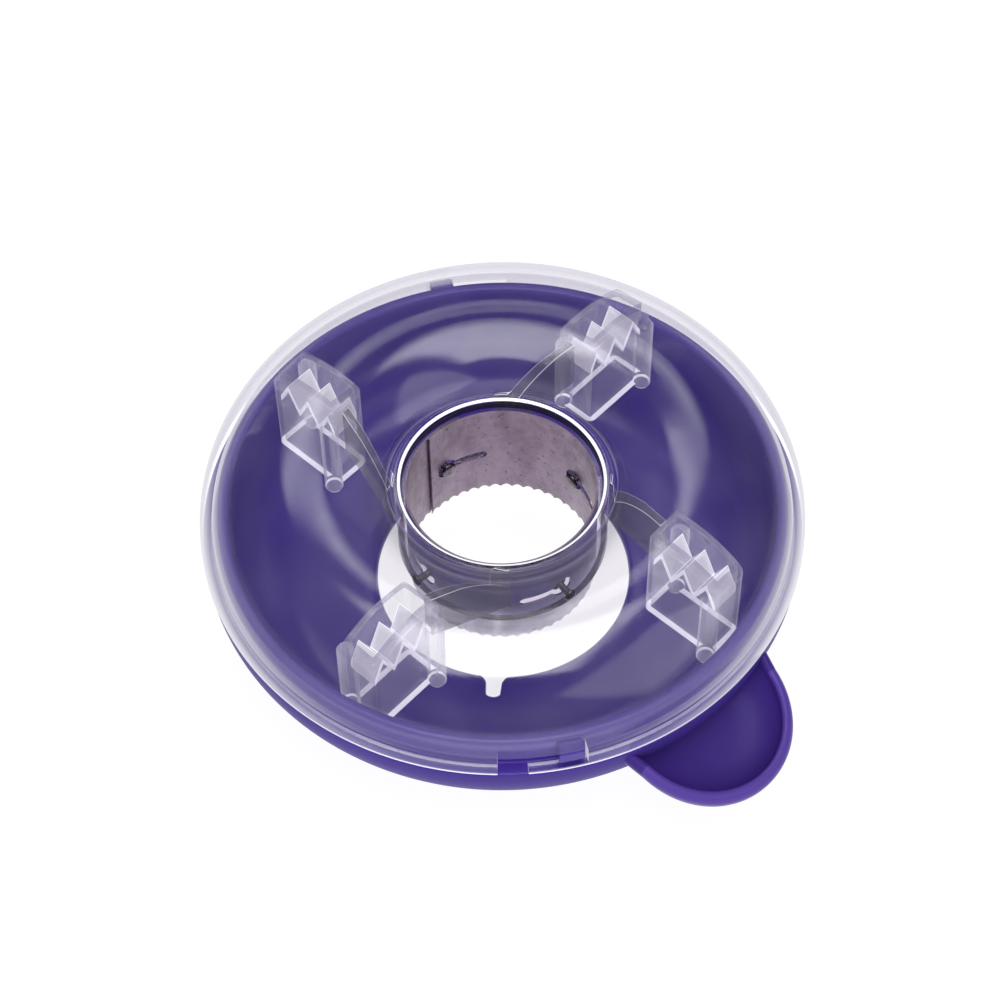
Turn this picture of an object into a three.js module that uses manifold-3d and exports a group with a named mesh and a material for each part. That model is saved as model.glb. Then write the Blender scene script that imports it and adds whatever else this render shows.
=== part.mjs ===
// Ring-shaped corn cob cutter: a purple ring bowl with a scoop handle, a clear domed cover that twists on it,
// a clear collar with four webs that carries a rolled, serrated steel strip, and four clear grip blocks set in the cover.
// Millimetres, +Z up, rests on Z = 0, handle along +X.
import * as THREE from "three";
import { mergeVertices } from "three/addons/utils/BufferGeometryUtils.js";
import Module from "manifold-3d";

const wasm = await Module();
wasm.setup();

// ---- driving dimensions -------------------------------------------------------------------------------------------
const RING_R = 57.5; // outer radius of the cover's skirt
const HANDLE_TIP = 72.7; // handle tip from the ring axis
const AXIS_X = -(HANDLE_TIP - RING_R) / 2; // ring axis, so that the whole part is centred on the origin
const SEG = 60; // facets round the ring

const SKIRT_BOTTOM = 20; // lower edge of the cover's skirt
const SKIRT_T = 2.2; // skirt thickness
const DOME_R = 37.5, DOME_Z = 22, DOME_A = 20, DOME_B = 17; // dome section: half of an ellipse about this circle
const DOME_T = 2.0; // dome thickness at the crown
const COVER_HOLE = 21.7; // cover's central hole

const BOWL_R = 57.2; // outer radius of the bowl under the skirt
const BOWL_RIM_R = 54.3, BOWL_RIM_IN = 52.0, BOWL_RIM_Z = 25.6; // upstanding rim inside the skirt
const BOWL_HOLE = 24.7, BOWL_FLOOR = 2.0; // central hole and floor thickness
const HANDLE_HALF = 17.0, HANDLE_RIM_Z = 17.4, HANDLE_SLOPE = 0.3; // handle half-width, rim height at its middle, rim slope
const NOTCH_AZ = -44.6, NOTCH_W = 3.7, NOTCH_D = 4.6; // small notch in the edge of the hole

const BAYONET_AZ = [-41.6, 138.4]; // start of each bayonet slot in the skirt
const ENTRY_DEG = 5.6, SLOT_DEG = 16.4; // entry notch, and whole slot
const SLOT_Z0 = 21.2, SLOT_Z1 = 25.2; // slot heights
const LUG_FROM = 11.2, LUG_DEG = 4.8, LUG_Z0 = 21.7, LUG_Z1 = 24.6, LUG_R = 57.0; // lug on the bowl

const TUBE_IN = 18.9, TUBE_OUT = 20.2, TUBE_Z0 = 13.8, LIP_R = 21.2, LIP_Z = 31.3; // collar

const STRIP_R = 17.55, STRIP_T = 0.4, STRIP_SPIRAL = 0.5; // inner radius at the seam, thickness, growth per turn
const STRIP_Z0 = 5.2, STRIP_Z1 = 29.4, STRIP_LAP = 25; // tooth tips, top edge, overlap in degrees
const TEETH = 50, TOOTH_D = 1.0, SEAM_AZ = 191.2;

const STUD_AZ = [177.5, 87.5, -2.5, -92.5], STUD_Z = 16.6; // studs that hold the strip
const STUD_STEM = 0.7, STUD_HEAD = 1.6, STUD_HOLE = 0.95;
const KEY_R = 2.25, KEY_W = 1.9, KEY_DEG = 25; // keyholes in the strip

const GRIP_AZ = [20, 110, 200, 290], GRIP_R = 40.7, GRIP_T = -0.15, GRIP_TURN = -13; // grip blocks
const GRIP_L = 16.8, GRIP_W = 8.4, GRIP_WALL = 1.1, GRIP_Z0 = 14.5, GRIP_ROUND = 1.5;
const GROOVE_TOP = 32, GROOVE_BOTTOM = 26.5, ROOF_T = 2.0; // zigzag roof in the block
const POST_R = 1.8, POST_Z0 = 13.0, POST_Z1 = 31.8;
const FIT = 0.3; // clearance round the blocks

const WEB_T = 1.6; // webs between collar and blocks

// ---- helpers ------------------------------------------------------------------------------------------------------
const rad = (d) => (d * Math.PI) / 180;

function solid(geometry) {
  const g = geometry.index ? geometry.toNonIndexed() : geometry.clone();
  g.deleteAttribute("normal");
  g.deleteAttribute("uv");
  const m = mergeVertices(g, 1e-3);
  const tri = new Uint32Array(m.index.array);
  const vert = m.attributes.position.array;
  let s = new wasm.Manifold(new wasm.Mesh({ numProp: 3, vertProperties: vert, triVerts: tri }));
  if (s.volume() < 0) {
    for (let i = 0; i < tri.length; i += 3) [tri[i + 1], tri[i + 2]] = [tri[i + 2], tri[i + 1]];
    s = new wasm.Manifold(new wasm.Mesh({ numProp: 3, vertProperties: vert, triVerts: tri }));
  }
  return s;
}

// A profile of [radius, height] points, closed on itself, turned about Z.
function turned(profile, seg = SEG) {
  const pts = profile.map(([r, z]) => new THREE.Vector2(r, z));
  if (profile[0][0] > 1e-6) pts.push(pts[0].clone());
  return solid(new THREE.LatheGeometry(pts, seg).rotateX(Math.PI / 2));
}

// A flat outline pushed up from z0 to z1.
function pushed(points, z0, z1) {
  const shape = new THREE.Shape(points.map(([x, y]) => new THREE.Vector2(x, y)));
  return solid(new THREE.ExtrudeGeometry(shape, { depth: z1 - z0, bevelEnabled: false }).translate(0, 0, z0));
}

// A piece of a ring between two azimuths.
function sector(r0, r1, a0, a1, z0, z1) {
  const n = Math.max(2, Math.ceil(Math.abs(a1 - a0) / 2.5));
  const pts = [];
  for (let i = 0; i <= n; i++) pts.push([r1 * Math.cos(rad(a0 + ((a1 - a0) * i) / n)), r1 * Math.sin(rad(a0 + ((a1 - a0) * i) / n))]);
  for (let i = n; i >= 0; i--) pts.push([r0 * Math.cos(rad(a0 + ((a1 - a0) * i) / n)), r0 * Math.sin(rad(a0 + ((a1 - a0) * i) / n))]);
  return pushed(pts, z0, z1);
}

// A round bar along the radius at an azimuth.
function radialBar(radius, r0, r1, az, z, seg = 20) {
  const g = new THREE.CylinderGeometry(radius, radius, r1 - r0, seg).rotateZ(-Math.PI / 2).translate((r0 + r1) / 2, 0, 0);
  return solid(g.rotateZ(rad(az)).translate(0, 0, z));
}

function bezier(p0, p1, p2, p3, n) {
  const out = [];
  for (let i = 0; i <= n; i++) {
    const t = i / n, s = 1 - t;
    out.push([0, 1].map((k) => s * s * s * p0[k] + 3 * s * s * t * p1[k] + 3 * s * t * t * p2[k] + t * t * t * p3[k]));
  }
  return out;
}

function geometryOf(s) {
  const m = s.getMesh(), n = m.numProp, v = new Float32Array(m.numVert * 3);
  for (let i = 0; i < m.numVert; i++) v.set(m.vertProperties.subarray(i * n, i * n + 3), i * 3);
  const g = new THREE.BufferGeometry();
  g.setAttribute("position", new THREE.BufferAttribute(v, 3));
  g.setIndex(new THREE.BufferAttribute(new Uint32Array(m.triVerts), 1));
  g.translate(AXIS_X, 0, 0);
  g.computeVertexNormals();
  return g;
}

const purple = new THREE.MeshStandardMaterial({ color: 0x46368a, roughness: 0.3, metalness: 0 });
const clear = new THREE.MeshStandardMaterial({ color: 0xe4e6ee, roughness: 0.08, metalness: 0 });
const smoke = new THREE.MeshStandardMaterial({ color: 0xc9cbd4, roughness: 0.1, metalness: 0 });
const steel = new THREE.MeshStandardMaterial({ color: 0xa39aa6, roughness: 0.35, metalness: 1 });

const root = new THREE.Group();
function add(name, s, material) {
  const mesh = new THREE.Mesh(geometryOf(s), material);
  mesh.name = name;
  root.add(mesh);
}

// ---- bowl with its scoop handle -----------------------------------------------------------------------------------
// The handle's outline shrunk about its middle, level by level: each level is [share of the outline, height from the rim plane].
function dish(levels) {
  const cx = 55.6, ring = [];
  ring.push([49.5, -18.8], [54, -17.8]);
  for (let i = 0; i <= 14; i++) {
    const t = rad(-80 + (160 * i) / 14);
    ring.push([cx + (HANDLE_TIP - cx) * Math.cos(t), HANDLE_HALF * Math.sin(t)]);
  }
  ring.push([54, 17.8], [49.5, 18.8]);
  const rim = (u) => HANDLE_RIM_Z - HANDLE_SLOPE * (u - cx);
  const pos = [], idx = [], n = ring.length;
  for (const [k, dz] of levels.slice(1, -1)) for (const [x, y] of ring) pos.push(cx + k * (x - cx), k * y, rim(cx + k * (x - cx)) + dz);
  const top = pos.length / 3, m = levels.length - 2;
  pos.push(cx, 0, rim(cx) + levels[0][1], cx, 0, rim(cx) + levels[m + 1][1]);
  for (let j = 0; j < n; j++) {
    const q = (j + 1) % n;
    idx.push(top, j, q, top + 1, (m - 1) * n + q, (m - 1) * n + j);
    for (let k = 0; k + 1 < m; k++) idx.push(k * n + j, (k + 1) * n + j, (k + 1) * n + q, k * n + j, (k + 1) * n + q, k * n + q);
  }
  const g = new THREE.BufferGeometry();
  g.setAttribute("position", new THREE.BufferAttribute(new Float32Array(pos), 3));
  g.setIndex(idx);
  return solid(g);
}

function bowl() {
  const side = bezier([BOWL_R, 18.5], [BOWL_R, 9], [47.5, 0], [38, 0], 7); // side curving in to the flat foot
  const inside = bezier([38, BOWL_FLOOR], [46.5, BOWL_FLOOR], [BOWL_RIM_IN, 7], [BOWL_RIM_IN, 14.5], 5);
  let s = turned([
    [BOWL_HOLE + 0.5, 0], [BOWL_HOLE, 0.5], [BOWL_HOLE, 1.3], [BOWL_HOLE + 0.8, BOWL_FLOOR],
    ...inside,
    [BOWL_RIM_IN, BOWL_RIM_Z - 0.7], [BOWL_RIM_IN + 0.7, BOWL_RIM_Z], [BOWL_RIM_R - 0.7, BOWL_RIM_Z], [BOWL_RIM_R, BOWL_RIM_Z - 0.7],
    [BOWL_RIM_R, 19.6], [BOWL_R - 0.4, 19.6], [BOWL_R, 19.2],
    ...side,
  ].reverse());
  for (const a of BAYONET_AZ) s = s.add(sector(BOWL_RIM_R - 1, LUG_R, a + LUG_FROM, a + LUG_FROM + LUG_DEG, LUG_Z0, LUG_Z1));
  // scoop handle: a shallow dish under a rim plane that slopes down outwards, hollowed by a smaller dish
  const outer = dish([[0, 0.5], [0.95, 0.5], [1, -0.2], [0.995, -1.2], [0.95, -3.0], [0.84, -5.0], [0.66, -6.6], [0.4, -7.6], [0, -8]]);
  const inner = dish([[0, 3], [0.895, 3], [0.895, 0.4], [0.86, -0.8], [0.8, -2.2], [0.66, -3.9], [0.42, -5.1], [0, -5.5]]);
  const handle = outer.subtract(inner).subtract(turned([[0, -5], [53.2, -5], [53.2, 40], [0, 40]]));
  s = s.add(handle);
  // notch in the edge of the hole
  const n0 = solid(new THREE.CylinderGeometry(NOTCH_W / 2, NOTCH_W / 2, 8, 20).rotateX(Math.PI / 2).translate(BOWL_HOLE + NOTCH_D - NOTCH_W / 2, 0, 0).rotateZ(rad(NOTCH_AZ)));
  const n1 = solid(new THREE.BoxGeometry(8, NOTCH_W, 8).translate(BOWL_HOLE + NOTCH_D - NOTCH_W / 2 - 4, 0, 0).rotateZ(rad(NOTCH_AZ)));
  return s.subtract(n0).subtract(n1);
}

// ---- grip blocks --------------------------------------------------------------------------------------------------
// In the block's own frame: x along its length (outwards), y across, z up.
function blockOutline(l, w, r) {
  const pts = [], n = 5;
  const corners = [[l / 2, -w / 2, 0, 0], [l / 2, w / 2, r, 0], [-l / 2, w / 2, 0, 90], [-l / 2, -w / 2, r, 180]];
  for (const [x, y, q, a] of corners) {
    if (!q) { pts.push([x, y]); continue; }
    for (let i = 0; i <= n; i++) {
      const t = rad(a + (90 * i) / n);
      pts.push([x - Math.sign(x) * q + q * Math.cos(t), y - Math.sign(y) * q + q * Math.sin(t)]);
    }
  }
  return pts;
}
function placeBlock(s, az) {
  return s.rotate([0, 0, GRIP_TURN]).translate([GRIP_R, GRIP_T, 0]).rotate([0, 0, az]);
}
function domeSection(grow) {
  const pts = [];
  for (let i = 0; i <= 20; i++) {
    const t = rad((180 * i) / 20);
    pts.push([DOME_R + (DOME_A + grow) * Math.cos(t), DOME_Z + (DOME_B + grow) * Math.sin(t)]);
  }
  return pts;
}
const zigzag = [[-7.3, 28.4], [-5.7, GROOVE_TOP], [-3.0, GROOVE_BOTTOM], [-0.35, GROOVE_TOP], [2.3, GROOVE_BOTTOM], [4.95, GROOVE_TOP], [7.3, 27.4]];
function acrossBlock(points, width) {
  const shape = new THREE.Shape(points.map(([x, z]) => new THREE.Vector2(x, z)));
  return solid(new THREE.ExtrudeGeometry(shape, { depth: width, bevelEnabled: false }).rotateX(Math.PI / 2).translate(0, width / 2, 0));
}
function grip(az, underDome) {
  const inside = GRIP_W - 2 * GRIP_WALL;
  let s = pushed(blockOutline(GRIP_L, GRIP_W, GRIP_ROUND), GRIP_Z0, 45);
  s = s.subtract(acrossBlock([...zigzag, [7.3, 50], [-7.3, 50]], inside));
  s = s.subtract(acrossBlock([[-7.3, 10], [7.3, 10], ...zigzag.map(([x, z]) => [x, z - ROOF_T]).reverse()], inside));
  for (const [x, y] of [[GRIP_L / 2 - 1.3, -GRIP_W / 2], [-GRIP_L / 2 + 1.3, GRIP_W / 2]]) {
    const post = turned([[0, POST_Z0], [POST_R * 0.6, POST_Z0 + 0.3], [POST_R, POST_Z0 + 1.2], [POST_R, POST_Z1 - 1.0], [POST_R * 0.65, POST_Z1 - 0.2], [0, POST_Z1]], 16);
    s = s.add(post.translate([x, y, 0]));
  }
  return placeBlock(s, az).intersect(underDome);
}

// ---- clear cover --------------------------------------------------------------------------------------------------
// Skirt and dome in section, grown by a clearance.
function coverSection(grow) {
  const a = DOME_A + grow, b = DOME_B + grow, c = DOME_A - SKIRT_T - grow, d = DOME_B - DOME_T - grow, hole = COVER_HOLE - grow;
  const last = Math.acos((hole - DOME_R) / a), lastIn = Math.acos((hole - DOME_R) / c);
  const profile = [[DOME_R + c, SKIRT_BOTTOM - grow], [DOME_R + a, SKIRT_BOTTOM - grow]];
  for (let i = 0; i <= 11; i++) profile.push([DOME_R + a * Math.cos((last * i) / 11), DOME_Z + b * Math.sin((last * i) / 11)]);
  for (let i = 9; i >= 0; i--) profile.push([DOME_R + c * Math.cos((lastIn * i) / 9), DOME_Z + d * Math.sin((lastIn * i) / 9)]);
  return profile;
}
function cover() {
  let s = turned(coverSection(0));
  for (const az of GRIP_AZ) s = s.subtract(placeBlock(pushed(blockOutline(GRIP_L + 2 * FIT, GRIP_W + 2 * FIT, GRIP_ROUND), 24, 46), az));
  for (const z of BAYONET_AZ) {
    s = s.subtract(sector(50, 62, z, z + ENTRY_DEG, 18, SLOT_Z1));
    s = s.subtract(sector(50, 62, z, z + SLOT_DEG, SLOT_Z0, SLOT_Z1));
  }
  return s;
}

// ---- collar with its four webs ------------------------------------------------------------------------------------
function collar() {
  let s = turned([
    [TUBE_IN, TUBE_Z0], [TUBE_OUT, TUBE_Z0], [TUBE_OUT, 28.4], [20.8, 29.4], [LIP_R, 30.2], [LIP_R - 0.1, 30.9], [20.6, LIP_Z], [19.6, LIP_Z], [19.1, 31.0], [TUBE_IN, 30.5],
  ]);
  const clearance = turned(coverSection(0.5));
  for (const az of GRIP_AZ) {
    const p = [18.6, 9.7], d = [0.895, -0.447], from = -2.3, to = 17; // web's start at the collar and its direction, in the block's radial frame
    const shape = new THREE.Shape([[from, 19.4], [to, 24.6], [to, 36], [from, 31]].map(([x, z]) => new THREE.Vector2(x, z)));
    const g = new THREE.ExtrudeGeometry(shape, { depth: WEB_T, bevelEnabled: false }).rotateX(Math.PI / 2).translate(0, WEB_T / 2, 0);
    g.rotateZ(Math.atan2(d[1], d[0])).translate(p[0], p[1], 0).rotateZ(rad(az));
    s = s.add(solid(g).subtract(placeBlock(pushed(blockOutline(GRIP_L + 2 * FIT, GRIP_W + 2 * FIT, GRIP_ROUND).map(([x, y]) => [x > 0 ? x + 8 : x, y]), 10, 46), az)).subtract(clearance));
  }
  for (const az of STUD_AZ) s = s.subtract(radialBar(STUD_HOLE, 17, 23, az, STUD_Z, 16));
  return s;
}

// ---- steel strip --------------------------------------------------------------------------------------------------
// Rolled clockwise from the seam, each turn a little wider, so that its tail lies behind its start; the lower edge is scalloped.
function strip() {
  const per = 2, turn = 360 + STRIP_LAP, n = Math.round((TEETH * per * turn) / 360);
  const pos = [], idx = [];
  for (let i = 0; i <= n; i++) {
    const psi = (turn * i) / n, az = rad(SEAM_AZ - psi);
    const r0 = STRIP_R + (STRIP_SPIRAL * psi) / 360, r1 = r0 + STRIP_T;
    const low = STRIP_Z0 + TOOTH_D * Math.abs(Math.sin((Math.PI * TEETH * psi) / 360));
    const c = Math.cos(az), t = Math.sin(az);
    pos.push(r0 * c, r0 * t, low, r1 * c, r1 * t, low, r1 * c, r1 * t, STRIP_Z1, r0 * c, r0 * t, STRIP_Z1);
  }
  for (let i = 0; i < n; i++)
    for (let k = 0; k < 4; k++) {
      const a = 4 * i + k, b = 4 * i + ((k + 1) % 4), c = a + 4, d = b + 4;
      idx.push(a, b, d, a, d, c);
    }
  idx.push(0, 2, 1, 0, 3, 2);
  const e = 4 * n;
  idx.push(e, e + 1, e + 2, e, e + 2, e + 3);
  const g = new THREE.BufferGeometry();
  g.setAttribute("position", new THREE.BufferAttribute(new Float32Array(pos), 3));
  g.setIndex(idx);
  let s = solid(g);
  for (const az of STUD_AZ) {
    s = s.subtract(radialBar(KEY_R, 16, 20, az, STUD_Z, 20));
    s = s.subtract(sector(16, 20, az - KEY_DEG, az, STUD_Z - KEY_W / 2, STUD_Z + KEY_W / 2));
    s = s.subtract(radialBar(KEY_W / 2, 16, 20, az - KEY_DEG, STUD_Z, 12));
  }
  return s;
}

// ---- studs that hold the strip ------------------------------------------------------------------------------------
function stud(az) {
  const g = turned([
    [0, 16.5], [STUD_HEAD * 0.7, 16.6], [STUD_HEAD, 16.9], [STUD_HEAD, 17.3], [STUD_STEM, 17.3], [STUD_STEM, 20.5], [STUD_HEAD, 20.5], [STUD_HEAD, 21.0], [STUD_HEAD * 0.6, 21.4], [0, 21.5],
  ], 10);
  return g.rotate([0, 90, 0]).rotate([0, 0, az]).translate([0, 0, STUD_Z]);
}

add("bowl", bowl(), purple);
add("clear_cover", cover(), clear);
add("collar", collar(), smoke);
add("blade_strip", strip(), steel);
STUD_AZ.forEach((az, i) => add("blade_stud_" + (i + 1), stud(az), steel));
const under = turned([[0, 5], ...[[RING_R, 5]], ...domeSection(0.35).filter(([r]) => r > 20), [0, 50]]);
GRIP_AZ.forEach((az, i) => add("grip_block_" + (i + 1), grip(az, under), clear));

export default root;
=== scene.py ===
# Ring-shaped corn cob cutter: purple ring bowl with a scoop handle, clear domed cover with four grip blocks,
# clear collar with webs, rolled and serrated steel strip on four studs.
import math

import bmesh
import bpy
from mathutils import Matrix, Vector


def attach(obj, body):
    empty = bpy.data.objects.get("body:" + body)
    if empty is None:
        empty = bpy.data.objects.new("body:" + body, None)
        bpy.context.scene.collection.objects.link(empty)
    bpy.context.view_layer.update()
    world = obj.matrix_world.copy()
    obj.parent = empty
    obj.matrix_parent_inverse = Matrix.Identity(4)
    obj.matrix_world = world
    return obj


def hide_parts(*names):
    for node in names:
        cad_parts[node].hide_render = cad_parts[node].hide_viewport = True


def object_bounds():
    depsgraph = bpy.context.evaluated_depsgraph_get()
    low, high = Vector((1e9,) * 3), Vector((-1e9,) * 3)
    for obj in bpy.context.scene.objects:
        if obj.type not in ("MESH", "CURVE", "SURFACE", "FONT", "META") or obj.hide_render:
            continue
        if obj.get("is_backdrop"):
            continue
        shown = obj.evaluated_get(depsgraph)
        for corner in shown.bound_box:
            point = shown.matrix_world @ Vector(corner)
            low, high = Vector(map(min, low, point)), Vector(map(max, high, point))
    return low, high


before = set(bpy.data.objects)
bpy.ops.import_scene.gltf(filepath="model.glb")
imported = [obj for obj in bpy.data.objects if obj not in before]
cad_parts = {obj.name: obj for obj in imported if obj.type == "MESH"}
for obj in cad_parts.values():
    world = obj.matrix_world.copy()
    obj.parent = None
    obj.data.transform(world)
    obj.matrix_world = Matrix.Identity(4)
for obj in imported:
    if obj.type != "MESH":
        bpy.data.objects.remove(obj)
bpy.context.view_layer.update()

MM = 0.001
AX = -7.6  # ring axis, mm
scene = bpy.context.scene
rad = math.radians

# ---- shape helpers (millimetres) ------------------------------------------------------------------------------------


def link(name, mesh):
    ob = bpy.data.objects.new(name, mesh)
    scene.collection.objects.link(ob)
    return ob


def build(name, verts, faces):
    me = bpy.data.meshes.new(name)
    me.from_pydata([(x * MM, y * MM, z * MM) for x, y, z in verts], [], faces)
    bm = bmesh.new()
    bm.from_mesh(me)
    bmesh.ops.remove_doubles(bm, verts=bm.verts, dist=2e-7)
    bmesh.ops.dissolve_degenerate(bm, edges=bm.edges, dist=1e-8)
    bmesh.ops.recalc_face_normals(bm, faces=bm.faces)
    bm.to_mesh(me)
    bm.free()
    return link(name, me)


def smooth(ob, angle=32):
    me = ob.data
    me.shade_smooth()
    me.set_sharp_from_angle(angle=rad(angle))
    return ob


def bezier(p0, p1, p2, p3, n):
    out = []
    for i in range(n + 1):
        t = i / n
        s = 1 - t
        out.append(tuple(s**3 * a + 3 * s * s * t * b + 3 * s * t * t * c + t**3 * d for a, b, c, d in zip(p0, p1, p2, p3)))
    return out


def eased(points, n=5):
    """A closed outline of (x, y, radius): corners with a radius are rounded."""
    out = []
    for i, (x, y, q) in enumerate(points):
        if q <= 0:
            out.append((x, y))
            continue
        p = Vector((x, y))
        a = Vector(points[i - 1][:2]) - p
        b = Vector(points[(i + 1) % len(points)][:2]) - p
        ta, tb = min(q, 0.49 * a.length), min(q, 0.49 * b.length)
        a, b = p + a.normalized() * ta, p + b.normalized() * tb
        for k in range(n + 1):
            t = k / n
            v = a * (1 - t) ** 2 + p * 2 * t * (1 - t) + b * t * t
            out.append((v.x, v.y))
    return out


def lathe(name, profile, angles, shift=None):
    """A closed outline of (radius, height) turned about the ring axis."""
    verts, faces, m, n = [], [], len(profile), len(angles)
    for a in angles:
        for r, z in profile:
            q = r + (shift(a, r, z) if shift else 0)
            verts.append((AX + q * math.cos(a), q * math.sin(a), z))
    for i in range(n):
        for j in range(m):
            k, l = (i + 1) % n, (j + 1) % m
            faces.append((i * m + j, k * m + j, k * m + l, i * m + l))
    return build(name, verts, faces)


def turns(seg):
    return [2 * math.pi * i / seg for i in range(seg)]


def prism(name, outline, z0, z1):
    n = len(outline)
    verts = [(x, y, z0) for x, y in outline] + [(x, y, z1) for x, y in outline]
    faces = [tuple(range(n)), tuple(range(n, 2 * n))] + [(i, (i + 1) % n, n + (i + 1) % n, n + i) for i in range(n)]
    return build(name, verts, faces)


def sector(name, r0, r1, a0, a1, z0, z1, n=12):
    arc = [rad(a0 + (a1 - a0) * i / n) for i in range(n + 1)]
    out = [(AX + r1 * math.cos(a), r1 * math.sin(a)) for a in arc] + [(AX + r0 * math.cos(a), r0 * math.sin(a)) for a in reversed(arc)]
    return prism(name, out, z0, z1)


def radial(name, profile, az, z, seg=32):
    """A profile of (radius, distance from the ring axis) turned about a radius of the ring at a height."""
    c, s = math.cos(rad(az)), math.sin(rad(az))
    verts, faces, m = [], [], len(profile)
    for i in range(seg):
        t = 2 * math.pi * i / seg
        for q, d in profile:
            verts.append((AX + d * c - q * math.cos(t) * s, d * s + q * math.cos(t) * c, z + q * math.sin(t)))
    for i in range(seg):
        k = (i + 1) % seg
        for j in range(m - 1):
            faces.append((i * m + j, k * m + j, k * m + j + 1, i * m + j + 1))
    return build(name, verts, faces)


def keyhole(name, az, z, r0, r1, big, small, length):
    """A round hole with a slot that runs clockwise from it, cut through a ring at a height."""
    first = math.asin(small / big)
    out = [(-big * math.cos(t), big * math.sin(t)) for t in [first + (2 * math.pi - 2 * first) * i / 40 for i in range(41)]]
    out += [(-length - small * math.sin(t), -small * math.cos(t)) for t in [math.pi * i / 14 for i in range(15)]]
    verts, n = [], len(out)
    for r in (r0, r1):
        for s, h in out:
            a = rad(az) + s / 18.0
            verts.append((AX + r * math.cos(a), r * math.sin(a), z + h))
    faces = [tuple(range(n)), tuple(range(n, 2 * n))] + [(i, (i + 1) % n, n + (i + 1) % n, n + i) for i in range(n)]
    return build(name, verts, faces)


def cut(ob, tools, operation="DIFFERENCE"):
    for t in tools:
        mod = ob.modifiers.new("cut", "BOOLEAN")
        mod.operation, mod.object, mod.solver = operation, t, "EXACT"
    dg = bpy.context.evaluated_depsgraph_get()
    me = bpy.data.meshes.new_from_object(ob.evaluated_get(dg), depsgraph=dg)
    ob.modifiers.clear()
    ob.data = me
    for t in tools:
        bpy.data.objects.remove(t)
    return ob


def soften(ob, width, angle=30, steps=2, material=0, where=None):
    """Rounds the sharp edges of a mesh; the new faces take a material slot."""
    bm = bmesh.new()
    bm.from_mesh(ob.data)
    bmesh.ops.remove_doubles(bm, verts=bm.verts, dist=4e-6)
    bmesh.ops.dissolve_degenerate(bm, edges=bm.edges, dist=4e-6)
    bmesh.ops.dissolve_limit(bm, angle_limit=rad(0.6), verts=bm.verts, edges=bm.edges)
    sharp = [e for e in bm.edges if e.is_manifold and e.calc_face_angle(0) > rad(angle) and (where is None or where(e))]
    bmesh.ops.bevel(bm, geom=sharp, offset=width * MM, segments=steps, profile=0.6, affect="EDGES", clamp_overlap=True, material=material)
    bmesh.ops.recalc_face_normals(bm, faces=bm.faces)
    bm.to_mesh(ob.data)
    bm.free()
    return ob


# ---- materials ------------------------------------------------------------------------------------------------------


class Mat:
    def __init__(self, name):
        self.m = bpy.data.materials.new(name)
        self.m.use_nodes = True
        self.t = self.m.node_tree
        self.t.nodes.clear()
        self.out = self.t.nodes.new("ShaderNodeOutputMaterial")
        self.p = self.t.nodes.new("ShaderNodeBsdfPrincipled")
        self.t.links.new(self.p.outputs[0], self.out.inputs[0])
        self.co = self.t.nodes.new("ShaderNodeTexCoord")

    def link(self, a, b):
        self.t.links.new(a, b)

    def noise(self, scale, detail=3.0, rough=0.5, stretch=None, distortion=0.0):
        n = self.t.nodes.new("ShaderNodeTexNoise")
        n.inputs["Scale"].default_value = scale
        n.inputs["Detail"].default_value = detail
        n.inputs["Roughness"].default_value = rough
        n.inputs["Distortion"].default_value = distortion
        src = self.co.outputs["Object"]
        if stretch:
            mp = self.t.nodes.new("ShaderNodeMapping")
            mp.inputs["Scale"].default_value = stretch
            self.link(src, mp.inputs["Vector"])
            src = mp.outputs["Vector"]
        self.link(src, n.inputs["Vector"])
        return n.outputs["Fac"]

    def ramp(self, fac, stops):
        r = self.t.nodes.new("ShaderNodeValToRGB")
        e = r.color_ramp.elements
        while len(e) < len(stops):
            e.new(0.5)
        for x, (p, c) in zip(e, stops):
            x.position = p
            x.color = (*c, 1)
        self.link(fac, r.inputs[0])
        return r.outputs[0]

    def span(self, fac, lo, hi, a=0.3, b=0.7):
        n = self.t.nodes.new("ShaderNodeMapRange")
        for k, v in (("From Min", a), ("From Max", b), ("To Min", lo), ("To Max", hi)):
            n.inputs[k].default_value = v
        self.link(fac, n.inputs["Value"])
        return n.outputs[0]

    def bump(self, height, strength, distance, after=None):
        n = self.t.nodes.new("ShaderNodeBump")
        n.inputs["Strength"].default_value = strength
        n.inputs["Distance"].default_value = distance
        self.link(height, n.inputs["Height"])
        if after is not None:
            self.link(after, n.inputs["Normal"])
        self.link(n.outputs[0], self.p.inputs["Normal"])
        return n.outputs[0]

    def set(self, **values):
        for k, v in values.items():
            self.p.inputs[k.replace("_", " ")].default_value = v


def purple_plastic(name, dark, light, rough, shine):
    m = Mat(name)
    m.link(m.ramp(m.noise(45, 4, 0.55), [(0.3, dark), (0.7, light)]), m.p.inputs["Base Color"])
    m.link(m.span(m.noise(90, 2), rough, rough + 0.05), m.p.inputs["Roughness"])
    m.bump(m.noise(110, 2), 0.05, 0.0003)
    m.set(IOR=1.5, Specular_IOR_Level=shine)
    return m.m


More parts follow.
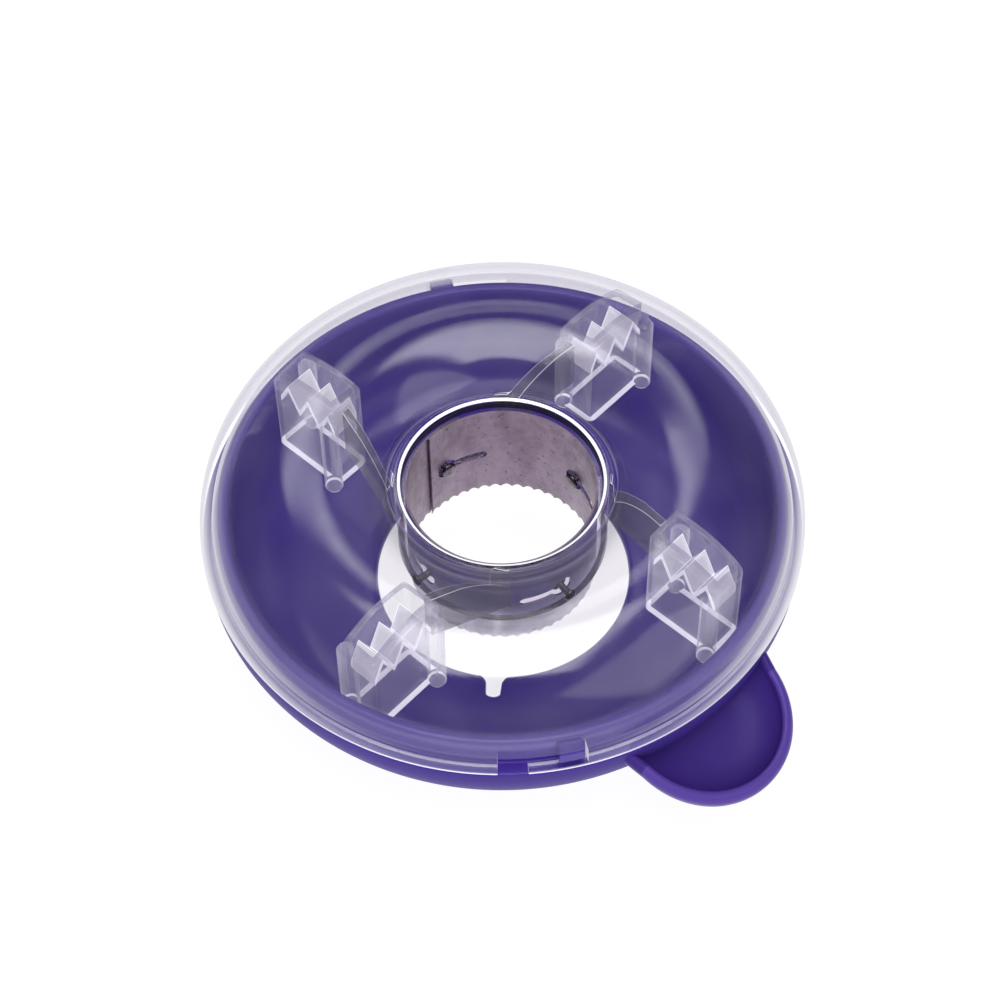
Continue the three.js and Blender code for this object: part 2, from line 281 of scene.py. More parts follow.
def film(name, tint, haze, tone, rough, glow=0.9, light=0.0, wave=0.06, grain=160, power=3.0, skirt=0.0, streak=None):
    """Clear plastic as a film on every face: what is behind shows through, less a little haze, and the haze can glow by
    its emission (painted light). Walls seen edge on glow with a painted pale emission that stands in for the light
    running along inside them, and gloss grows towards the rim. On a skirt a painted white glow grows outwards, and near
    the collar, where the dome is seen edge on, what shows through is darkened as painted shade."""
    m = Mat(name)
    t = m.t
    t.nodes.remove(m.p)

    def math_node(kind, first, second, third=None):
        n = t.nodes.new("ShaderNodeMath")
        n.operation = kind
        m.link(first, n.inputs[0])
        n.inputs[1].default_value = second
        if third is not None:
            n.inputs[2].default_value = third
        return n.outputs[0]

    def ease(value, a, b, lo, hi):
        n = t.nodes.new("ShaderNodeMapRange")
        n.interpolation_type = "SMOOTHSTEP"
        for k, v in (("From Min", a), ("From Max", b), ("To Min", lo), ("To Max", hi)):
            n.inputs[k].default_value = v
        m.link(value, n.inputs["Value"])
        return n.outputs[0]

    def product(one, two):
        n = t.nodes.new("ShaderNodeMath")
        n.operation = "MULTIPLY"
        m.link(one, n.inputs[0])
        m.link(two, n.inputs[1])
        return n.outputs[0]

    def mix(fac, one, two):
        n = t.nodes.new("ShaderNodeMixShader")
        m.link(fac, n.inputs[0])
        m.link(one, n.inputs[1])
        m.link(two, n.inputs[2])
        return n.outputs[0]

    seen = t.nodes.new("ShaderNodeBsdfTransparent")
    seen.inputs["Color"].default_value = (*tint, 1)
    milk_and_painted_glow = t.nodes.new("ShaderNodeBsdfPrincipled")
    m.link(m.ramp(m.noise(grain, 3), [(0.3, tuple(0.92 * x for x in tone)), (0.7, tone)]), milk_and_painted_glow.inputs["Base Color"])
    milk_and_painted_glow.inputs["Roughness"].default_value = 0.6
    # the haze glows by its emission strength: painted light
    milk_and_painted_glow.inputs["Emission Color"].default_value = (0.97, 0.96, 1.0, 1)
    milk_and_painted_glow.inputs["Emission Strength"].default_value = light
    rim = t.nodes.new("ShaderNodeLayerWeight")
    rim.inputs["Blend"].default_value = 0.5
    through = seen.outputs[0]
    if skirt:
        flat = t.nodes.new("ShaderNodeMapping")
        flat.inputs["Location"].default_value = (-AX * MM, 0, 0)
        flat.inputs["Scale"].default_value = (1, 1, 0)
        m.link(m.co.outputs["Object"], flat.inputs["Vector"])
        reach = t.nodes.new("ShaderNodeVectorMath")
        reach.operation = "LENGTH"
        m.link(flat.outputs[0], reach.inputs[0])
        # painted shade: near the collar, where the dome is seen edge on, what shows through is darker
        deep = t.nodes.new("ShaderNodeBsdfTransparent")
        deep.inputs["Color"].default_value = (*[0.8 * x for x in tint], 1)
        through = mix(product(ease(reach.outputs["Value"], 0.0235, 0.032, 1.0, 0.0), ease(rim.outputs["Facing"], 0.25, 0.65, 0.0, 1.0)), through, deep.outputs[0])
    veil = mix(m.span(m.noise(grain * 0.6, 3, 0.5, streak), haze[0], haze[1]), through, milk_and_painted_glow.outputs[0])
    # painted light: walls seen edge on glow pale lavender
    pale = t.nodes.new("ShaderNodeEmission")
    pale.inputs["Color"].default_value = (0.63, 0.595, 0.76, 1)
    edge = mix(math_node("MULTIPLY", math_node("POWER", rim.outputs["Facing"], power), glow), veil, pale.outputs[0])
    if skirt:
        # painted light: the skirt glows whiter towards its outer edge, where it is seen edge on
        painted_skirt_glow = t.nodes.new("ShaderNodeEmission")
        painted_skirt_glow.inputs["Color"].default_value = (0.7, 0.685, 0.755, 1)
        tilt = ease(rim.outputs["Facing"], 0.46, 0.82, 0.0, 1.0)
        edge = mix(product(ease(reach.outputs["Value"], 0.052, 0.0563, 0.0, skirt), tilt), edge, painted_skirt_glow.outputs[0])
    gloss = t.nodes.new("ShaderNodeBsdfAnisotropic")
    gloss.inputs["Color"].default_value = (1, 1, 1, 1)
    m.link(m.span(m.noise(grain * 1.7, 3), rough[0], rough[1]), gloss.inputs["Roughness"])
    bump = t.nodes.new("ShaderNodeBump")
    bump.inputs["Strength"].default_value = wave
    bump.inputs["Distance"].default_value = 0.0005
    m.link(m.noise(40, 2), bump.inputs["Height"])
    m.link(bump.outputs[0], gloss.inputs["Normal"])
    both = mix(math_node("MULTIPLY_ADD", math_node("POWER", rim.outputs["Facing"], 5.0), 0.4, 0.042), edge, gloss.outputs[0])
    m.link(both, m.out.inputs[0])
    return m.m


def strip_steel(name, dark, mid, light):
    m = Mat(name)
    cloud = m.ramp(m.noise(150, 5, 0.6, (1, 1, 0.45)), [(0.34, dark), (0.5, mid), (0.68, light)])
    pits = m.ramp(m.noise(1100, 2, 0.5), [(0.63, (1, 1, 1)), (0.72, (0.55, 0.5, 0.55))])
    both = m.t.nodes.new("ShaderNodeMix")
    both.data_type, both.blend_type = "RGBA", "MULTIPLY"
    both.inputs["Factor"].default_value = 1.0
    m.link(cloud, both.inputs["A"])
    m.link(pits, both.inputs["B"])
    m.link(both.outputs["Result"], m.p.inputs["Base Color"])
    m.link(m.span(m.noise(650, 4), 0.3, 0.46), m.p.inputs["Roughness"])
    m.bump(m.noise(900, 3, 0.6, (1, 1, 0.15)), 0.1, 0.0001)
    m.set(Metallic=1.0)
    return m.m


def stud_steel():
    m = Mat("stud_steel")
    m.link(m.ramp(m.noise(900, 3), [(0.3, (0.09, 0.07, 0.09)), (0.7, (0.22, 0.18, 0.22))]), m.p.inputs["Base Color"])
    m.link(m.span(m.noise(1500, 2), 0.2, 0.35), m.p.inputs["Roughness"])
    m.set(Metallic=1.0)
    return m.m


PURPLE = purple_plastic("purple_plastic", (0.047, 0.0195, 0.25), (0.053, 0.0225, 0.283), 0.17, 0.4)
# painted shade: the handle's dish is a darker copy of the bowl's purple, with a duller finish
PURPLE_DISH_PAINTED_SHADE = purple_plastic("purple_plastic_dish_painted_shade", (0.042, 0.019, 0.175), (0.047, 0.022, 0.2), 0.33, 0.12)
# painted light: the handle's outer rim is a paler copy of the bowl's purple
PURPLE_RIM_PAINTED_LIGHT = purple_plastic("purple_plastic_rim_painted_light", (0.075, 0.037, 0.27), (0.082, 0.041, 0.3), 0.3, 0.25)
# the outside wall of the bowl has a duller finish; its paler, greyer copy of the purple is painted light
PURPLE_OUTSIDE_PAINTED_LIGHT = purple_plastic("purple_plastic_outside_painted_light", (0.052, 0.027, 0.22), (0.058, 0.031, 0.25), 0.4, 0.07)
# the dome's edges and skirt glow with painted light, and near the collar it carries a painted shade
CLEAR = film("clear_plastic", (0.94, 0.93, 0.956), (0.0, 0.012), (0.9, 0.88, 0.95), (0.11, 0.17), 0.45, wave=0.03, power=5.0, skirt=0.95)
COLLAR = film("clear_collar_plastic", (0.95, 0.92, 0.985), (0.0, 0.03), (0.5, 0.47, 0.6), (0.02, 0.06), 0.15)
# painted shade: a near-black film
COLLAR_DARK = film("clear_collar_shade", (0.16, 0.13, 0.18), (0.3, 0.5), (0.02, 0.015, 0.025), (0.05, 0.1), 0.02)
WEB = film("clear_web_plastic", (0.8, 0.79, 0.82), (0.16, 0.26), (0.2, 0.19, 0.22), (0.03, 0.08), 0.03)
# the grip, post and ridge films also glow a little in their haze: painted light
GRIP = film("clear_grip_plastic", (0.95, 0.95, 0.955), (0.05, 0.085), (0.7, 0.67, 0.8), (0.02, 0.08), 0.45, 0.1, 0.12, power=4.0)
# painted shade: the cut walls of the grip openings see through darker than the dome
POCKET_PAINTED_SHADE = film("clear_pocket_plastic_painted_shade", (0.74, 0.72, 0.79), (0.04, 0.12), (0.8, 0.78, 0.88), (0.04, 0.1), 0.2, 0.0, 0.12)
# painted highlight: a hazy glowing band on the skirt's inner bottom edge
RIM_PAINTED_HIGHLIGHT = film("clear_rim_plastic_painted_highlight", (0.95, 0.95, 0.96), (0.2, 0.35), (0.9, 0.88, 0.95), (0.04, 0.1), 0.6, 0.15, 0.12)
POST = film("clear_post_plastic", (0.95, 0.95, 0.955), (0.1, 0.42), (0.7, 0.68, 0.77), (0.02, 0.08), 0.6, 0.1, 0.12, 700, streak=(1, 1, 0.05))
RIDGE = film("clear_ridge_plastic", (0.92, 0.92, 0.94), (0.66, 0.84), (0.6, 0.585, 0.66), (0.03, 0.1), 0.3, 0.06, 0.12)
# painted highlight: a glowing white line along the skirt's outer bottom edge
SKIRT_PAINTED_HIGHLIGHT = film("clear_skirt_edge_painted_highlight", (0.97, 0.97, 0.98), (0.8, 0.95), (0.96, 0.95, 0.98), (0.05, 0.15), 0.1, 0.85, 0.05)
# painted highlight: a glowing white film for the edges of the clear parts
EDGE_PAINTED_HIGHLIGHT = film("clear_plastic_edge_painted_highlight", (0.97, 0.97, 0.98), (0.75, 0.95), (0.94, 0.93, 0.97), (0.05, 0.15), 0.2, 0.55, 0.05)
# one steel painted as two copies: a dark mauve inside (painted shade and painted reflection of the purple) and a pale
# lavender-grey outside (painted reflection)
STEEL_INSIDE_PAINTED_SHADE = strip_steel("strip_steel", (0.2, 0.145, 0.2), (0.26, 0.195, 0.27), (0.32, 0.255, 0.33))
STEEL_OUTSIDE_PAINTED_REFLECTION = strip_steel("strip_steel_outside_painted_reflection", (0.54, 0.52, 0.59), (0.6, 0.58, 0.65), (0.66, 0.64, 0.71))
STUD = stud_steel()


def finish(ob, body, slot, material, *nodes):
    for k in range(len(ob.data.materials)):
        ob.data.materials.pop()
    for x in material if isinstance(material, tuple) else (material,):
        ob.data.materials.append(x)
    ob.visible_shadow = slot not in ("clear_plastic", "collar_plastic", "grip_plastic")
    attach(ob, body)
    if nodes:
        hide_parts(*nodes)
    return ob


# ---- bowl -----------------------------------------------------------------------------------------------------------
NOTCH_AZ, NOTCH_W, NOTCH_D, HOLE = -44.6, 3.1, 4.5, 24.7
outer = bezier((57.2, 18.5), (57.2, 9), (47.5, 0), (38, 0), 30)
inside = bezier((38, 2), (46.5, 2), (52, 7), (52, 14.5), 26)
profile = (
    [(HOLE + 0.55, 0.0), (HOLE + 0.2, 0.18), (HOLE + 0.02, 0.5), (HOLE, 0.9), (HOLE + 0.1, 1.35), (HOLE + 0.4, 1.75), (HOLE + 0.9, 2.0)]
    + [(28.0, 2.0), (29.6, 2.0), (32, 2.0), (35, 2.0)]
    + inside
    + eased([(52, 24.0, 0), (52, 25.6, 0.9), (54.3, 25.6, 0.9), (54.3, 19.6, 0.4), (57.2, 19.6, 0.5), (57.2, 18.8, 0)], 6)
    + outer
    + [(35, 0), (32, 0), (29.6, 0), (28, 0)]
)
angles = sorted(set([round(2 * math.pi * i / 240, 6) for i in range(240)] + [round((rad(NOTCH_AZ) + k * 0.0028) % (2 * math.pi), 6) for k in range(-46, 47)]))


def notch(a, r, z):
    """How far the hole's edge steps back in the notch."""
    if r >= 32:
        return 0
    d = (a - rad(NOTCH_AZ) + math.pi) % (2 * math.pi) - math.pi
    side = abs(d) * (HOLE + 2.5)
    half = NOTCH_W / 2
    if side < half - 0.3:
        deep = NOTCH_D - 0.85 * (half - math.sqrt(half * half - side * side))
    elif side < half:
        edge = NOTCH_D - 0.85 * (half - math.sqrt(half * half - (half - 0.3) ** 2))
        deep = edge + (1.3 - edge) * (side - half + 0.3) / 0.3
    elif side < half + 1.5:  # flared shoulder
        deep = 1.3 * (1 - (side - half) / 1.5) ** 2
    else:
        return 0
    return deep * min(1.0, (32 - r) / (32 - HOLE - 0.9))


bowl = smooth(lathe("bowl_shell", profile, angles, notch), 40)
# outward faces of the lower bowl take the paler copy of the purple: painted light
for f in bowl.data.polygons:
    c = f.center / MM
    r = math.hypot(c.x - AX, c.y)
    if r > 37 and c.z < 19.5 and (c.x - AX) * f.normal.x + c.y * f.normal.y > 0:
        f.material_index = 1
finish(bowl, "base", "bowl_plastic", (PURPLE, PURPLE_OUTSIDE_PAINTED_LIGHT), "bowl")

# scoop handle: a shallow dish with a rounded rim, its back edge inside the wall of the bowl
CX, TIP, HALF, RIM_Z, SLOPE = 55.6, 72.7, 17.0, 17.4, 0.3
ring = [(49.5, -18.8), (51.7, -18.4), (54, -17.8)]
for i in range(61):
    t = rad(-82 + 164 * i / 60)
    ring.append((CX + (TIP - CX) * math.cos(t), HALF * math.sin(t)))
ring += [(54, 17.8), (51.7, 18.4), (49.5, 18.8)]
levels = bezier((0.40, -7.7), (0.86, -7.3), (0.985, -3.2), (1.0, -0.9), 16)
levels += [(1.0 - 0.066 * (1 - math.cos(t)), -0.9 + 1.35 * math.sin(t)) for t in [math.pi * k / 12 for k in range(1, 12)]]
levels += bezier((0.868, -0.9), (0.835, -2.4), (0.70, -5.3), (0.30, -5.45), 18)


def dish_point(k, dz, x, y):
    u = CX + k * (x - CX)
    return (AX + u, k * y, RIM_Z - SLOPE * (u - CX) + dz)


verts, faces, n = [], [], len(ring)
for k, dz in levels:
    verts += [dish_point(k, dz, x, y) for x, y in ring]
for i in range(len(levels) - 1):
    for j in range(n):
        faces.append((i * n + j, i * n + (j + 1) % n, (i + 1) * n + (j + 1) % n, (i + 1) * n + j))
verts += [(AX + CX, 0, RIM_Z - 8.0), (AX + CX, 0, RIM_Z - 5.6)]
for j in range(n):
    faces.append((j, (j + 1) % n, len(verts) - 2))
    faces.append(((len(levels) - 1) * n + j, (len(levels) - 1) * n + (j + 1) % n, len(verts) - 1))
handle = build("scoop_handle", verts, faces)
cut(handle, [prism("tool", [(AX + 54.4 * math.cos(a), 54.4 * math.sin(a)) for a in turns(240)], -10, 50)])
smooth(handle, 40)
# painted light: the upward-facing outer rim of the handle takes the paler copy of the purple, the dish the darker one
for f in handle.data.polygons:
    c = f.center / MM
    if math.hypot((c.x - AX - CX) / (TIP - CX), c.y / HALF) > 0.885 and f.normal.z > -0.3 and c.x - AX > 56.5:
        f.material_index = 1
finish(handle, "base", "bowl_plastic", (PURPLE_DISH_PAINTED_SHADE, PURPLE_RIM_PAINTED_LIGHT), "bowl")

BAYONET = (-41.6, 138.4)
for i, az in enumerate(BAYONET):
    lug = sector("bayonet_lug_%d" % (i + 1), 54.0, 57.0, az + 11.2, az + 16.0, 21.7, 24.6, 10)
    mod = lug.modifiers.new("edge", "BEVEL")
    mod.width, mod.segments, mod.limit_method, mod.angle_limit = 0.00035, 3, "ANGLE", rad(40)
    finish(smooth(lug), "base", "bowl_plastic", PURPLE, "bowl")

# ---- clear cover ----------------------------------------------------------------------------------------------------
DR, DZ, DA, DB, DT, SKIRT, EDGE = 37.5, 22.0, 20.0, 17.0, 2.0, 2.2, 21.7


def dome_z(r, grow=0.0):
    return DZ + (DB + grow) * math.sqrt(max(0.0, 1 - ((r - DR) / (DA + grow)) ** 2))


a_in, b_in = DA - SKIRT, DB - DT
last, last_in = math.acos((EDGE + 0.3 - DR) / DA), math.acos((EDGE + 0.3 - DR) / a_in)
profile = [(55.75, 20.0), (57.1, 20.0), (57.38, 20.12), (57.5, 20.4), (57.5, 21.2)]
profile += [(DR + DA * math.cos(last * i / 60), DZ + DB * math.sin(last * i / 60)) for i in range(61)]
z1, z0 = dome_z(EDGE + 0.3), DZ + b_in * math.sin(last_in)
profile += [(EDGE + 0.06, z1 - 0.45), (EDGE, (z0 + z1) / 2), (EDGE + 0.06, z0 + 0.4)]
profile += [(DR + a_in * math.cos(last_in * i / 52), DZ + b_in * math.sin(last_in * i / 52)) for i in range(52, -1, -1)]
profile += [(55.3, 21.2), (55.3, 20.4), (55.42, 20.12)]
cover = lathe("cover_dome", profile, turns(288))

GRIP_AZ, GRIP_R, GRIP_T, GRIP_TURN = (20, 110, 200, 290), 40.7, -0.15, -13


def block_point(az, x, y):
    """From a block's own frame to the plan of the cutter."""
    t = rad(GRIP_TURN)
    p = (GRIP_R + x * math.cos(t) - y * math.sin(t), GRIP_T + x * math.sin(t) + y * math.cos(t))
    a = rad(az)
    return (AX + p[0] * math.cos(a) - p[1] * math.sin(a), p[0] * math.sin(a) + p[1] * math.cos(a))


def block_outline(l, w, q, n=6):
    out = []
    for x, y, r, a in ((l / 2, -w / 2, 0, 0), (l / 2, w / 2, q, 0), (-l / 2, w / 2, 0, 90), (-l / 2, -w / 2, q, 180)):
        if not r:
            out.append((x, y))
            continue
        for i in range(n + 1):
            t = rad(a + 90 * i / n)
            out.append((x - math.copysign(r, x) + r * math.cos(t), y - math.copysign(r, y) + r * math.sin(t)))
    return out


tools = []
for az in GRIP_AZ:
    tools.append(prism("tool", [block_point(az, x, y) for x, y in block_outline(14.6, 6.2, 0.5)], 24, 46))
for az in BAYONET:
    tools.append(sector("tool", 50, 62, az, az + 5.6, 18, 25.2))
    tools.append(sector("tool", 50, 62, az, az + 16.4, 21.2, 25.2, 20))
cut(cover, tools)
smooth(cover, 30)
# painted highlights on the skirt's outer and inner bottom edges; painted shade on the cut walls of the grip openings
for f in cover.data.polygons:
    c = f.center / MM
    r = math.hypot(c.x - AX, c.y)
    if c.z < 20.45 and r > 56.9:
        f.material_index = 1
    elif c.z < 20.45 and r < 55.8:
        f.material_index = 2
    elif c.z > 30 and 30 < r < 52 and abs(f.normal.z) < 0.2:
        f.material_index = 3
    else:
        f.material_index = 0
finish(cover, "cover", "clear_plastic", (CLEAR, SKIRT_PAINTED_HIGHLIGHT, RIM_PAINTED_HIGHLIGHT, POCKET_PAINTED_SHADE), "clear_cover")

# ---- collar ---------------------------------------------------------------------------------------------------------
profile = eased(
    [(18.9, 13.8, 0.3), (20.2, 13.8, 0.3), (20.2, 28.2, 0.5), (20.9, 29.5, 0.5), (21.2, 30.3, 0.5), (21.0, 31.1, 0.6), (20.2, 31.3, 0.5), (19.2, 31.1, 0.5), (18.9, 30.3, 0.5), (18.9, 29.2, 0)],
    7,
)
tube = lathe("collar_tube", profile, turns(192))
STUD_AZ, STUD_Z = (177.5, 87.5, -2.5, -92.5), 16.6
cut(tube, [radial("tool", [(0, 17), (0.95, 17), (0.95, 23), (0, 23)], az, STUD_Z, 24) for az in STUD_AZ])
smooth(tube, 35)
for f in tube.data.polygons:
    c = f.center / MM
    r = math.hypot(c.x - AX, c.y)
    # painted highlight: a band on top of the lip takes the glowing edge film; painted shade: the tube's bottom and the
    # inside of the lip above the strip take the near-black film
    if c.z > 30.2 and 19.15 < r < 19.72:
        f.material_index = 1
    else:
        f.material_index = 2 if c.z < 13.98 or r < 19.1 and c.z > 29.2 else 0
finish(tube, "cover", "collar_plastic", (COLLAR, EDGE_PAINTED_HIGHLIGHT, COLLAR_DARK), "collar")

for i, az in enumerate(GRIP_AZ):
    # plate from the tube to the inner end of a block, its top edge under the dome
    px, py, dx, dy, half = 18.6, 9.7, 0.895, -0.447, 0.8
    verts, faces, n = [], [], 28
    ends = []
    for side in (-half, half):
        s0 = -2.0
        while math.hypot(px + s0 * dx - side * dy, py + s0 * dy + side * dx) < 20.26:
            s0 += 0.02
        s1 = s0
        while True:  # up to the wall of the block
            x, y = px + s1 * dx - side * dy - GRIP_R, py + s1 * dy + side * dx - GRIP_T
            t = rad(-GRIP_TURN)
            if x * math.cos(t) - y * math.sin(t) > -8.75:
                break
            s1 += 0.02
        ends.append((s0, s1))
    for side, (s0, s1) in zip((-half, half), ends):
        for k in range(n + 1):
            s = s0 + (s1 - s0) * k / n
            x, y = px + s * dx - side * dy, py + s * dy + side * dx
            r = math.hypot(x, y)
            low = 19.4 + (s + 2.3) * 5.2 / 19.3
            top = 31.0 + (s + 2.3) * 5.0 / 19.3
            if r > EDGE - 0.5:
                lim = DZ + (b_in - 0.5) * math.sqrt(max(0.0, 1 - (min(r - DR, 0) / (a_in - 0.5)) ** 2))
                top = min(top, lim)
            c, w = math.cos(rad(az)), math.sin(rad(az))
            verts += [(AX + x * c - y * w, x * w + y * c, low), (AX + x * c - y * w, x * w + y * c, top)]
    m = 2 * (n + 1)
    for k in range(n):
        a, b = 2 * k, 2 * k + 2
        faces += [(a, b, b + 1, a + 1), (m + a, m + a + 1, m + b + 1, m + b), (a + 1, b + 1, m + b + 1, m + a + 1), (a, m + a, m + b, b)]
    faces += [(0, 1, m + 1, m), (2 * n, m + 2 * n, m + 2 * n + 1, 2 * n + 1)]
    web = build("collar_web_%d" % (i + 1), verts, faces)
    # painted highlight: the rounded top edges take the glowing edge film
    soften(web, 0.16, 45, 2, 1, lambda e: min(v.co.z for v in e.verts) > 0.0262)
    finish(smooth(web), "cover", "collar_plastic", (WEB, EDGE_PAINTED_HIGHLIGHT), "collar")

# ---- blade strip and its studs --------------------------------------------------------------------------------------
R0, THICK, SPIRAL, LOW, TOP, LAP, TEETH, DEPTH, SEAM = 17.55, 0.4, 0.5, 5.2, 29.4, 25, 50, 0.75, 191.2
turn = 360 + LAP
n = round(TEETH * 10 * turn / 360)
rows = [0.0, 0.06, 0.3, 0.6, 0.9, 1.0]
verts, faces = [], []
for i in range(n + 1):
    psi = turn * i / n
    az = rad(SEAM - psi)
    r = R0 + SPIRAL * psi / 360
    low = LOW + DEPTH * abs(math.sin(math.pi * TEETH * psi / 360))
    loop = [(r + THICK * 0.85 if f == 0 else r, low + (TOP - low) * f) for f in rows] + [(r + THICK, low + (TOP - low) * f) for f in reversed(rows)]
    verts += [(AX + q * math.cos(az), q * math.sin(az), z) for q, z in loop]
m = 2 * len(rows)
for i in range(n):
    for j in range(m):
        a, b = i * m + j, i * m + (j + 1) % m
        faces.append((a, b, b + m, a + m))
faces += [tuple(range(m)), tuple(range(n * m, n * m + m))]
strip = build("blade_ring", verts, faces)
tools = [keyhole("tool", az, STUD_Z, 16, 20, 2.25, 0.95, rad(25) * 18.0) for az in STUD_AZ]
cut(strip, tools)
smooth(strip, 30)
# outward faces take the pale outside copy of the steel, the rest the dark inside copy: painted reflection and painted
# shade
for f in strip.data.polygons:
    c = f.center / MM
    out = (c.x - AX) * f.normal.x + c.y * f.normal.y
    f.material_index = 1 if out > 5 else 0
finish(strip, "blade", "blade_steel", (STEEL_INSIDE_PAINTED_SHADE, STEEL_OUTSIDE_PAINTED_REFLECTION), "blade_strip")

for i, az in enumerate(STUD_AZ):
    head = [(0, 16.5), (0.8, 16.52), (1.25, 16.62), (1.52, 16.8), (1.6, 17.0), (1.6, 17.25), (1.55, 17.3)]
    tail = [(1.2, 20.5), (1.25, 20.55), (1.25, 20.8), (1.15, 20.95), (0.9, 21.05), (0.5, 21.1), (0, 21.1)]
    stud = radial("stud_%d" % (i + 1), head + [(0.75, 17.3), (0.7, 17.35), (0.7, 20.45), (0.75, 20.5)] + tail, az, STUD_Z, 32)
    finish(smooth(stud, 40), "cover", "stud_steel", STUD, "blade_stud_%d" % (i + 1))

# ---- grip blocks ----------------------------------------------------------------------------------------------------
ZIGZAG = [(-7.3, 29.6), (-5.7, 33.2), (-3.0, 27.9), (-0.35, 33.2), (2.3, 27.9), (4.95, 33.2), (7.3, 28.6)]


def slab(name, az, outline, half):
    """An outline of (along the block, height) thickened across the block."""
    n, verts = len(outline), []
    for side in (-half, half):
        verts += [(*block_point(az, x, side), z) for x, z in outline]
    faces = [tuple(range(n)), tuple(range(n, 2 * n))] + [(i, (i + 1) % n, n + (i + 1) % n, n + i) for i in range(n)]
    return build(name, verts, faces)


def post(name, az, x, y):
    c, seg = block_point(az, x, y), 28
    shape = [(0, 13.0), (1.1, 13.0), (1.55, 13.2), (1.8, 13.7), (1.8, 31.1), (1.55, 31.6), (1.1, 31.8), (0, 31.8)]
    verts, faces, m = [], [], len(shape)
    for i in range(seg):
        t = 2 * math.pi * i / seg
        verts += [(c[0] + r * math.cos(t), c[1] + r * math.sin(t), z) for r, z in shape]
    for i in range(seg):
        k = (i + 1) % seg
        faces += [(i * m + j, k * m + j, k * m + j + 1, i * m + j + 1) for j in range(m - 1)]
    return build(name, verts, faces)


# one block is shaped and the other three are quarter turns of it
az = GRIP_AZ[0]
block = prism("grip_1", [block_point(az, x, y) for x, y in block_outline(16.8, 8.4, 1.5)], 14.5, 46)
arc = [math.pi * k / 72 for k in range(73)]
cap = [(DR + (a_in - 0.03) * math.cos(t), DZ + (b_in - 0.03) * math.sin(t)) for t in arc] + [(DR - a_in + 0.03, 8), (DR + a_in - 0.03, 8)]
cut(block, [lathe("tool", cap, turns(144))], "INTERSECT")
cut(block, [prism("tool", [block_point(az, x, y) for x, y in ((7.3, -3.1), (7.3, 3.1), (-7.3, 3.1), (-7.3, -3.1))], 10, 50)])
cut(block, [post("tool", az, 7.1, -4.2), post("tool", az, -7.1, 4.2)], "UNION")
# painted highlight: the rounded edges take the glowing edge film
soften(block, 0.3, 28, 2, 1)
blocks = [block]
for i in (1, 2, 3):
    turned = link("grip_%d" % (i + 1), block.data.copy())
    turned.data.transform(Matrix.Translation((AX * MM, 0, 0)) @ Matrix.Rotation(rad(90 * i), 4, "Z") @ Matrix.Translation((-AX * MM, 0, 0)))
    blocks.append(turned)

for i, az in enumerate(GRIP_AZ):
    block = smooth(blocks[i], 30)
    across = Vector(block_point(az, 0, 1)) - Vector(block_point(az, 0, 0))
    posts = [Vector(block_point(az, 7.1, -4.2)), Vector(block_point(az, -7.1, 4.2))]
    for f in block.data.polygons:
        z = f.center.z / MM
        near = min((Vector((f.center.x / MM, f.center.y / MM)) - c).length for c in posts)
        if f.material_index == 0 and 1.6 < near < 1.85 and abs(f.normal.z) < 0.2:
            f.material_index = 2
        # painted highlight: slanted faces at the posts' lower ends and the flat bottoms of the walls glow; the flat
        # ends of the posts stay clear
        if z < 13.75 and f.normal.z < -0.2:
            f.material_index = 1 if f.normal.z > -0.9 else 0
        elif f.normal.z < -0.9 and z < 15:
            f.material_index = 1
    finish(block, "cover", "grip_plastic", (GRIP, EDGE_PAINTED_HIGHLIGHT, POST), "grip_block_%d" % (i + 1))

    # corrugated floor of the block
    sheet = slab("grip_ridge_%d" % (i + 1), az, ZIGZAG + [(x, z - 1.7) for x, z in reversed(ZIGZAG)], 3.06)
    # painted highlight: rounded edges and, below, the cut ends of the sheet take the glowing edge film
    soften(sheet, 0.1, 28, 2, 1)
    smooth(sheet, 30)
    for f in sheet.data.polygons:
        if abs(f.normal.x * across.x + f.normal.y * across.y) > 0.8:
            f.material_index = 1
    finish(sheet, "cover", "grip_plastic", (RIDGE, EDGE_PAINTED_HIGHLIGHT), "grip_block_%d" % (i + 1))

# ---- floor, light, camera -------------------------------------------------------------------------------------------
floor = link("floor", bpy.data.meshes.new("floor"))
floor.data.from_pydata([(-4, -4, -0.0001), (4, -4, -0.0001), (4, 4, -0.0001), (-4, 4, -0.0001)], [], [(0, 1, 2, 3)])
fm = Mat("pale_floor")
fm.link(fm.ramp(fm.noise(6, 2), [(0.3, (0.095, 0.095, 0.096)), (0.7, (0.105, 0.105, 0.106))]), fm.p.inputs["Base Color"])
fm.set(Roughness=0.7, Emission_Color=(1, 1, 1, 1), Emission_Strength=0.94)
floor.data.materials.append(fm.m)
floor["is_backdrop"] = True

world = bpy.data.worlds.new("studio")
scene.world = world
world.use_nodes = True
sky = world.node_tree
coord = sky.nodes.new("ShaderNodeTexCoord")
split = sky.nodes.new("ShaderNodeSeparateXYZ")
sky.links.new(coord.outputs["Generated"], split.inputs[0])
fade = sky.nodes.new("ShaderNodeValToRGB")
for k, (at, tone) in enumerate(((0.49, 0.4), (0.5, 0.3), (0.58, 0.15), (0.66, 0.28), (0.78, 0.28), (0.85, 0.12), (1.0, 0.12))):
    stop = fade.color_ramp.elements[k] if k < 2 else fade.color_ramp.elements.new(at)
    stop.position, stop.color = at, (tone, tone, tone, 1)
half = sky.nodes.new("ShaderNodeMath")
half.operation = "MULTIPLY_ADD"
half.inputs[1].default_value = half.inputs[2].default_value = 0.5
sky.links.new(split.outputs["Z"], half.inputs[0])
sky.links.new(half.outputs[0], fade.inputs[0])
sky.links.new(fade.outputs[0], sky.nodes["Background"].inputs[0])
sky.nodes["Background"].inputs[1].default_value = 1.0


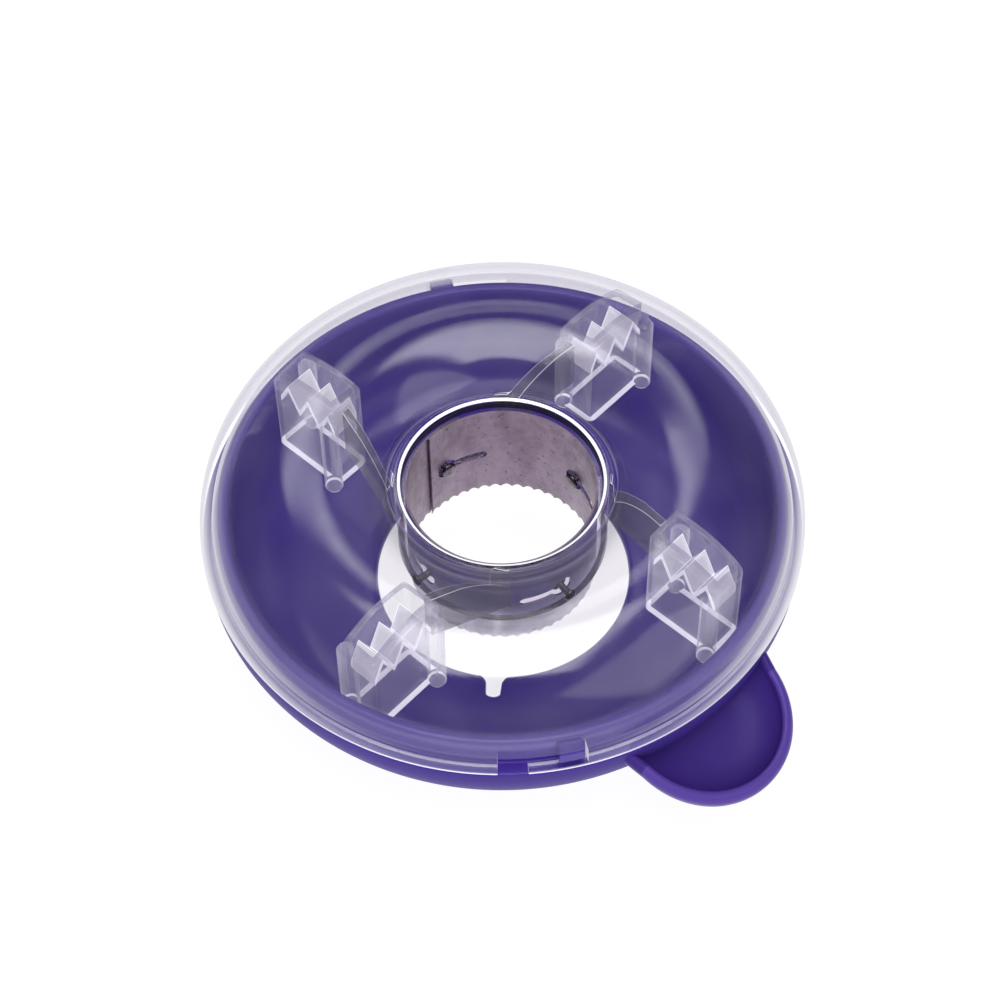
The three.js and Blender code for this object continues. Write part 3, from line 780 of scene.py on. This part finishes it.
az_cam, el_cam = rad(-40.0), 0.9419266
back = Vector((math.cos(el_cam) * math.cos(az_cam), math.cos(el_cam) * math.sin(az_cam), math.sin(el_cam)))
right = Vector((-math.sin(az_cam), math.cos(az_cam), 0))
up = back.cross(right)
middle = Vector((AX * MM, 0, 0.02))


def studio(x, y, z):
    """A place given from the camera: x to its right, y away from it, z up."""
    flat = Vector((-math.cos(az_cam), -math.sin(az_cam), 0))
    return middle + right * x + flat * y + Vector((0, 0, z))


def softbox(name, place, aim, size, radiance, spin=0.0):
    """A soft panel, its width across the view, that faces a point."""
    light = bpy.data.lights.new(name, "AREA")
    light.shape, light.size, light.size_y = "RECTANGLE", size[0], size[1]
    light.energy = radiance * math.pi * size[0] * size[1]
    ob = bpy.data.objects.new(name, light)
    z = (place - aim).normalized()
    side = studio(0.0, 1.0, 0.0) - studio(0.0, 0.0, 0.0) if abs(z.dot(right)) > 0.6 else right
    x = (side - z * side.dot(z)).normalized()
    turn = Matrix((x, z.cross(x), z)).transposed() @ Matrix.Rotation(rad(spin), 3, "Z")
    ob.matrix_world = Matrix.Translation(place) @ turn.to_4x4()
    ob.visible_camera = False
    scene.collection.objects.link(ob)
    return ob


softbox("overhead", studio(0.0, 0.0, 0.9), studio(0.0, 0.0, 0.0), (0.52, 0.68), 3.6)
softbox("behind", studio(-0.1, 0.72, 0.9), studio(-0.1, 0.72, 0.0), (0.6, 0.17), 2.8, 12)
softbox("side", studio(0.62, -0.36, 0.55), middle, (0.8, 0.75), 1.0)
softbox("front", studio(-0.05, -0.7, 0.55), middle, (1.0, 0.4), 2.1).visible_glossy = False
softbox("low_left", studio(-0.8, -0.3, 0.16), middle, (0.9, 0.32), 1.1).visible_glossy = False
softbox("low_front", studio(0.0, -0.85, 0.2), middle, (1.0, 0.3), 1.5).visible_glossy = False

cam = bpy.data.cameras.new("camera")
cam.sensor_width, cam.lens = 36.0, 93.6
cam.shift_x, cam.shift_y = -0.002438, 0.014965
cam.clip_start, cam.clip_end = 0.01, 50
eye = bpy.data.objects.new("camera", cam)
turned = Matrix((right, up, back)).transposed() @ Matrix.Rotation(-0.0149452, 3, "Z")
eye.matrix_world = Matrix.Translation(middle + back * 0.497013) @ turned.to_4x4()
scene.collection.objects.link(eye)
scene.camera = eye
scene.view_settings.view_transform = "Standard"
scene.view_settings.look = "None"
scene.cycles.max_bounces = 28
scene.cycles.transmission_bounces = 28
scene.cycles.transparent_max_bounces = 48

bpy.context.view_layer.update()
low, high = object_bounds()
